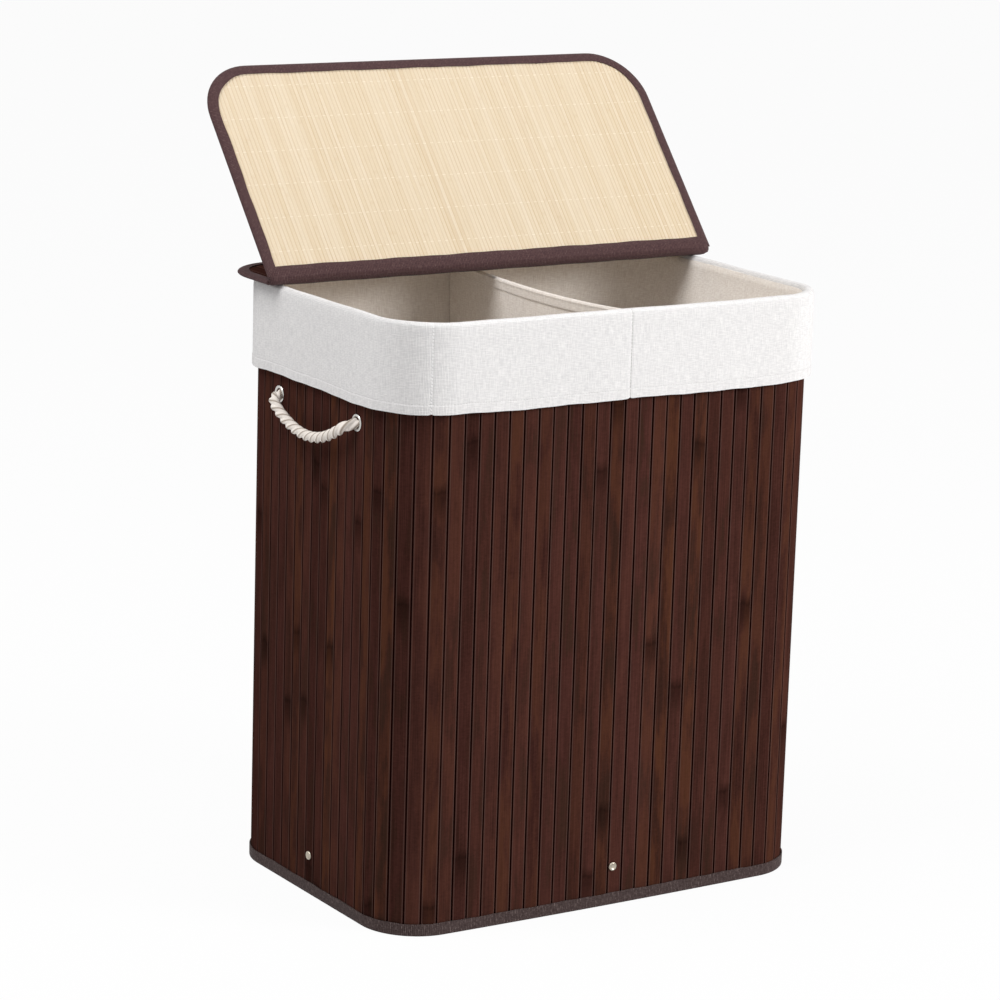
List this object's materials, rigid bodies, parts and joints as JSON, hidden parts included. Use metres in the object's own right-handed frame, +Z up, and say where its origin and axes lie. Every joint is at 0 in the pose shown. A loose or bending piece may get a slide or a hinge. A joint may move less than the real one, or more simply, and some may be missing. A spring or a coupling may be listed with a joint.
{
  "type": "laundry hamper with two bins",
  "caption": "Tall rounded slat-walled laundry hamper with a cloth liner that forms two bins, a folded-over cuff, a lid on a cloth hinge and rope handles.",
  "frame": {"origin": "on the floor, under the middle of the slat wall", "axes": "+X to the right along the width, -Y towards the front, +Z up"},
  "size_m": [0.558, 0.4311, 0.8447],
  "materials": {
    "dark_bamboo": "stained, satin lacquer",
    "pale_bamboo": "natural, unlacquered",
    "plum_tape": "ribbed woven tape",
    "grey_tape": "heathered woven tape",
    "dark_cloth": "stiff non-woven cloth",
    "white_linen": "plain slubby weave",
    "grey_linen": "plain weave",
    "cotton_rope": "three-strand twisted cotton",
    "champagne_metal": "satin plated",
    "silver_metal": "bright plated",
    "spring_wire": "drawn wire",
    "hardboard": "raw hardboard"
  },
  "bodies": {
    "hamper_body": {"slat_wall": "dark_bamboo", "wall_backing": "dark_cloth", "back_seam_tape": "dark_cloth", "bottom_binding": "grey_tape", "top_binding": "dark_cloth", "base_cloth": "dark_cloth", "base_board_left": "hardboard", "base_board_right": "hardboard", "rivet_front": "champagne_metal", "rivet_back": "champagne_metal", "rivet_left": "champagne_metal", "rivet_right": "champagne_metal", "rivet_washer_front": "silver_metal", "rivet_washer_back": "silver_metal", "rivet_washer_left": "silver_metal", "rivet_washer_right": "silver_metal", "wire_frame_left": "spring_wire", "wire_frame_right": "spring_wire", "wire_loop_left_front": "dark_cloth", "wire_loop_left_back": "dark_cloth", "wire_loop_right_front": "dark_cloth", "wire_loop_right_back": "dark_cloth", "eyelet_left_front": "silver_metal", "eyelet_left_back": "silver_metal", "eyelet_right_front": "silver_metal", "eyelet_right_back": "silver_metal", "eyelet_washer_left_front": "silver_metal", "eyelet_washer_left_back": "silver_metal", "eyelet_washer_right_front": "silver_metal", "eyelet_washer_right_back": "silver_metal", "rope_end_left_front": "cotton_rope", "rope_end_left_back": "cotton_rope", "rope_end_right_front": "cotton_rope", "rope_end_right_back": "cotton_rope", "liner_cuff": "white_linen", "liner_bag_left": "grey_linen", "liner_bag_right": "grey_linen", "liner_floor_left": "grey_linen", "liner_floor_right": "grey_linen", "liner_divider_left": "grey_linen", "liner_divider_right": "grey_linen", "divider_edge": "white_linen", "lid_rear_slats": "dark_bamboo", "lid_rear_mat": "pale_bamboo", "lid_rear_binding": "plum_tape", "lid_anchor_tape": "dark_cloth", "lid_hinge_tape": "plum_tape"},
    "lid_flap": {"lid_slats": "dark_bamboo", "lid_mat": "pale_bamboo", "lid_binding": "plum_tape"},
    "handle_left": {"rope_loop_left": "cotton_rope"},
    "handle_right": {"rope_loop_right": "cotton_rope"}
  },
  "joints": [
    {"name": "lid_hinge", "type": "hinge", "parent": "hamper_body", "child": "lid_flap", "pos_m": [0, 0.076, 0.6428], "axis": [-1, 0, 0], "range_deg": [-131, 40]},
    {"name": "handle_left_swing", "type": "hinge", "parent": "hamper_body", "child": "handle_left", "pos_m": [-0.272, 0, 0.522], "axis": [0, 1, 0], "range_deg": [0, 150]},
    {"name": "handle_right_swing", "type": "hinge", "parent": "hamper_body", "child": "handle_right", "pos_m": [0.272, 0, 0.522], "axis": [0, -1, 0], "range_deg": [0, 150]}
  ]
}
